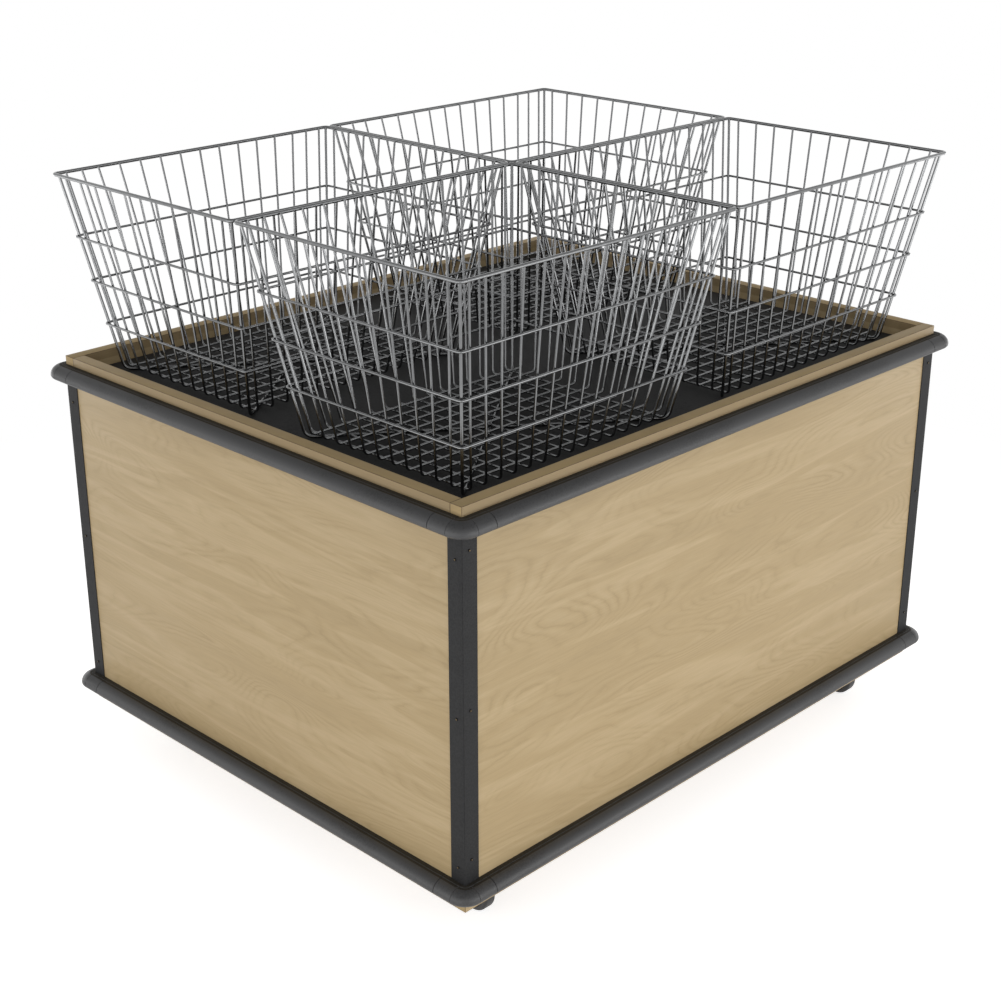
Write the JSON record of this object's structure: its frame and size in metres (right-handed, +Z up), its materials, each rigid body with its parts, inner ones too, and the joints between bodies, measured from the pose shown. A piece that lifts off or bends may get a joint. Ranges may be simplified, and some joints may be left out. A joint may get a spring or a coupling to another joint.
{
  "type": "retail dump bin",
  "caption": "Wheeled retail dump bin: a wood-laminate cabinet with black bumper rails and a recessed deck that carries lift-out wire baskets.",
  "frame": {"origin": "on the floor, under the middle of the cabinet", "axes": "+X along the long front face, towards the right end seen from the front; -Y faces the front; +Z up"},
  "size_m": [1.258, 1.03, 1.0544],
  "materials": {
    "wood_laminate": "satin printed wood laminate",
    "bare_board": "raw board",
    "black_laminate": "matt black laminate",
    "painted_steel": "satin dark grey powder coat",
    "bumper_vinyl": "satin moulded vinyl",
    "bright_wire": "bright plated steel wire",
    "zinc_steel": "zinc-plated pressed steel",
    "caster_wheel": "black moulded nylon"
  },
  "bodies": {
    "cabinet": {"front_panel": "wood_laminate", "back_panel": "wood_laminate", "left_panel": "wood_laminate", "right_panel": "wood_laminate", "base_board": "bare_board", "deck_cleats": "bare_board", "deck_bearer": "bare_board", "deck_board": "black_laminate", "corner_angle_front_left": "painted_steel", "corner_angle_front_right": "painted_steel", "corner_angle_back_left": "painted_steel", "corner_angle_back_right": "painted_steel", "angle_screws": "painted_steel", "bumper_top_front": "bumper_vinyl", "bumper_top_back": "bumper_vinyl", "bumper_top_left": "bumper_vinyl", "bumper_top_right": "bumper_vinyl", "bumper_top_corners": "bumper_vinyl", "bumper_bottom_front": "bumper_vinyl", "bumper_bottom_back": "bumper_vinyl", "bumper_bottom_left": "bumper_vinyl", "bumper_bottom_right": "bumper_vinyl", "bumper_bottom_corners": "bumper_vinyl", "caster_plates": "zinc_steel", "caster_screws": "zinc_steel"},
    "basket_front_left": {"basket_front_left_hoops": "bright_wire", "basket_front_left_corner_wires": "bright_wire", "basket_front_left_cross_wires": "bright_wire", "basket_front_left_long_wires": "bright_wire"},
    "basket_front_right": {"basket_front_right_hoops": "bright_wire", "basket_front_right_corner_wires": "bright_wire", "basket_front_right_cross_wires": "bright_wire", "basket_front_right_long_wires": "bright_wire"},
    "basket_back_left": {"basket_back_left_hoops": "bright_wire", "basket_back_left_corner_wires": "bright_wire", "basket_back_left_cross_wires": "bright_wire", "basket_back_left_long_wires": "bright_wire"},
    "basket_back_right": {"basket_back_right_hoops": "bright_wire", "basket_back_right_corner_wires": "bright_wire", "basket_back_right_cross_wires": "bright_wire", "basket_back_right_long_wires": "bright_wire"},
    "caster_front_left_swivel": {"caster_front_left_fork": "zinc_steel", "caster_front_left_axle": "zinc_steel"},
    "caster_front_left_roller": {"caster_front_left_wheel": "caster_wheel"},
    "caster_front_right_swivel": {"caster_front_right_fork": "zinc_steel", "caster_front_right_axle": "zinc_steel"},
    "caster_front_right_roller": {"caster_front_right_wheel": "caster_wheel"},
    "caster_back_left_swivel": {"caster_back_left_fork": "zinc_steel", "caster_back_left_axle": "zinc_steel"},
    "caster_back_left_roller": {"caster_back_left_wheel": "caster_wheel"},
    "caster_back_right_swivel": {"caster_back_right_fork": "zinc_steel", "caster_back_right_axle": "zinc_steel"},
    "caster_back_right_roller": {"caster_back_right_wheel": "caster_wheel"}
  },
  "joints": [
    {"name": "basket_front_left_lift", "type": "slide", "parent": "cabinet", "child": "basket_front_left", "axis": [0, 0, 1], "range_m": [0, 0.4]},
    {"name": "basket_front_right_lift", "type": "slide", "parent": "cabinet", "child": "basket_front_right", "axis": [0, 0, 1], "range_m": [0, 0.4]},
    {"name": "basket_back_left_lift", "type": "slide", "parent": "cabinet", "child": "basket_back_left", "axis": [0, 0, 1], "range_m": [0, 0.4]},
    {"name": "basket_back_right_lift", "type": "slide", "parent": "cabinet", "child": "basket_back_right", "axis": [0, 0, 1], "range_m": [0, 0.4]},
    {"name": "caster_front_left_swivel_turn", "type": "hinge", "parent": "cabinet", "child": "caster_front_left_swivel", "pos_m": [-0.5, -0.386, 0.07], "axis": [0, 0, 1], "continuous": true},
    {"name": "caster_front_left_wheel_spin", "type": "hinge", "parent": "caster_front_left_swivel", "child": "caster_front_left_roller", "pos_m": [-0.5, -0.41, 0.0315], "axis": [1, 0, 0], "continuous": true},
    {"name": "caster_front_right_swivel_turn", "type": "hinge", "parent": "cabinet", "child": "caster_front_right_swivel", "pos_m": [0.5, -0.386, 0.07], "axis": [0, 0, 1], "continuous": true},
    {"name": "caster_front_right_wheel_spin", "type": "hinge", "parent": "caster_front_right_swivel", "child": "caster_front_right_roller", "pos_m": [0.5, -0.41, 0.0315], "axis": [1, 0, 0], "continuous": true},
    {"name": "caster_back_left_swivel_turn", "type": "hinge", "parent": "cabinet", "child": "caster_back_left_swivel", "pos_m": [-0.5, 0.386, 0.07], "axis": [0, 0, 1], "continuous": true},
    {"name": "caster_back_left_wheel_spin", "type": "hinge", "parent": "caster_back_left_swivel", "child": "caster_back_left_roller", "pos_m": [-0.5, 0.362, 0.0315], "axis": [1, 0, 0], "continuous": true},
    {"name": "caster_back_right_swivel_turn", "type": "hinge", "parent": "cabinet", "child": "caster_back_right_swivel", "pos_m": [0.5, 0.386, 0.07], "axis": [0, 0, 1], "continuous": true},
    {"name": "caster_back_right_wheel_spin", "type": "hinge", "parent": "caster_back_right_swivel", "child": "caster_back_right_roller", "pos_m": [0.5, 0.362, 0.0315], "axis": [1, 0, 0], "continuous": true}
  ]
}
